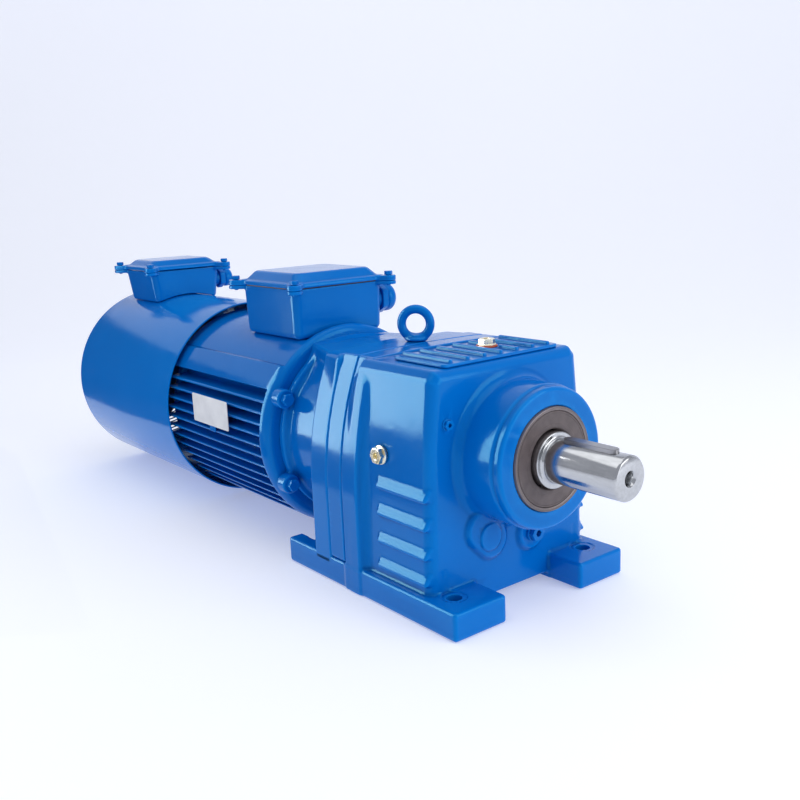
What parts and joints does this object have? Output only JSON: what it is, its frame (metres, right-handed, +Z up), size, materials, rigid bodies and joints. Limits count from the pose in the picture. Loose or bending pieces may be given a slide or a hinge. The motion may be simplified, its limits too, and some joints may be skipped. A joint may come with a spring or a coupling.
{
  "type": "gearbox",
  "caption": "Foot-mounted inline helical gear unit driven by a finned motor with a separately powered cooling fan; keyed output shaft.",
  "frame": {"origin": "centre of the feet's rectangle on the foot plane, under the output shaft", "axes": "+X along the output shaft towards its end, +Z up, +Y to the cable gland side"},
  "size_m": [1.135, 0.311, 0.375],
  "materials": {
    "blue_enamel": "gloss enamel over cast and sheet metal",
    "machined_steel": "turned and ground, bare",
    "key_steel": "ground bar, bare",
    "gear_steel": "case hardened, oiled",
    "bearing_steel": "ground",
    "core_steel": "stacked laminations",
    "bracket_steel": "dark painted sheet",
    "seal_case": "pressed sheet steel",
    "seal_rubber": "matt moulded",
    "gasket_rubber": "matt",
    "brass_plug": "bright turned",
    "winding_copper": "varnished copper wire",
    "nameplate_metal": "satin, blank",
    "black_plastic": "moulded"
  },
  "bodies": {
    "housing": {"gearcase": "blue_enamel", "gearcase_top_cover": "blue_enamel", "adapter_plate": "blue_enamel", "eyebolt": "blue_enamel", "breather_plug": "brass_plug", "level_plug": "brass_plug", "drain_plug": "blue_enamel", "front_plug": "blue_enamel", "output_seal_case": "seal_case", "output_seal_lip": "seal_rubber", "motor_shaft_seal": "seal_rubber", "drive_end_shield": "blue_enamel", "motor_frame": "blue_enamel", "fan_end_shield": "blue_enamel", "nameplate": "nameplate_metal", "stator_core": "core_steel", "drive_end_winding": "winding_copper", "fan_end_winding": "winding_copper", "fan_cover": "blue_enamel", "fan_guard": "blue_enamel", "fan_motor": "black_plastic", "fan_bracket": "bracket_steel", "terminal_box": "blue_enamel", "terminal_box_gasket": "gasket_rubber", "terminal_box_lid": "blue_enamel", "terminal_block": "black_plastic", "terminal_box_gland": "blue_enamel", "fan_terminal_box": "blue_enamel", "fan_terminal_box_lid": "blue_enamel", "fan_terminal_box_gland": "blue_enamel", "shield_bolt_1": "blue_enamel", "lid_screw_1": "blue_enamel", "shield_bolt_2": "blue_enamel", "lid_screw_2": "blue_enamel", "shield_bolt_3": "blue_enamel", "lid_screw_3": "blue_enamel", "shield_bolt_4": "blue_enamel", "lid_screw_4": "blue_enamel", "output_rear_bearing_outer_ring": "bearing_steel", "output_front_bearing_outer_ring": "bearing_steel", "intermediate_rear_bearing_outer_ring": "bearing_steel", "intermediate_front_bearing_outer_ring": "bearing_steel", "motor_drive_end_bearing_outer_ring": "bearing_steel", "motor_fan_end_bearing_outer_ring": "bearing_steel"},
    "output": {"output_shaft": "machined_steel", "output_key": "key_steel", "output_wheel_key": "key_steel", "output_wheel": "gear_steel", "output_rear_bearing_inner_ring": "bearing_steel", "output_front_bearing_inner_ring": "bearing_steel"},
    "intermediate": {"intermediate_pinion_shaft": "gear_steel", "intermediate_wheel": "gear_steel", "intermediate_rear_bearing_inner_ring": "bearing_steel", "intermediate_front_bearing_inner_ring": "bearing_steel"},
    "rotor": {"motor_pinion": "gear_steel", "rotor_shaft": "machined_steel", "rotor_core": "core_steel", "motor_drive_end_bearing_inner_ring": "bearing_steel", "motor_fan_end_bearing_inner_ring": "bearing_steel"},
    "fan": {"fan_impeller": "black_plastic"}
  },
  "joints": [
    {"name": "motor_spin", "type": "hinge", "parent": "housing", "child": "rotor", "pos_m": [0, 0, 0.157], "axis": [1, 0, 0], "continuous": true},
    {"name": "intermediate_spin", "type": "hinge", "parent": "housing", "child": "intermediate", "pos_m": [0, -0.04507, 0.0885], "axis": [1, 0, 0], "continuous": true},
    {"name": "output_spin", "type": "hinge", "parent": "housing", "child": "output", "pos_m": [0, 0, 0.18], "axis": [1, 0, 0], "continuous": true},
    {"name": "fan_spin", "type": "hinge", "parent": "housing", "child": "fan", "pos_m": [0, 0, 0.157], "axis": [1, 0, 0], "continuous": true}
  ],
  "couplings": [
    {"joint": "intermediate_spin", "follows": "motor_spin", "ratio": -0.24242},
    {"joint": "output_spin", "follows": "motor_spin", "ratio": 0.074592}
  ]
}
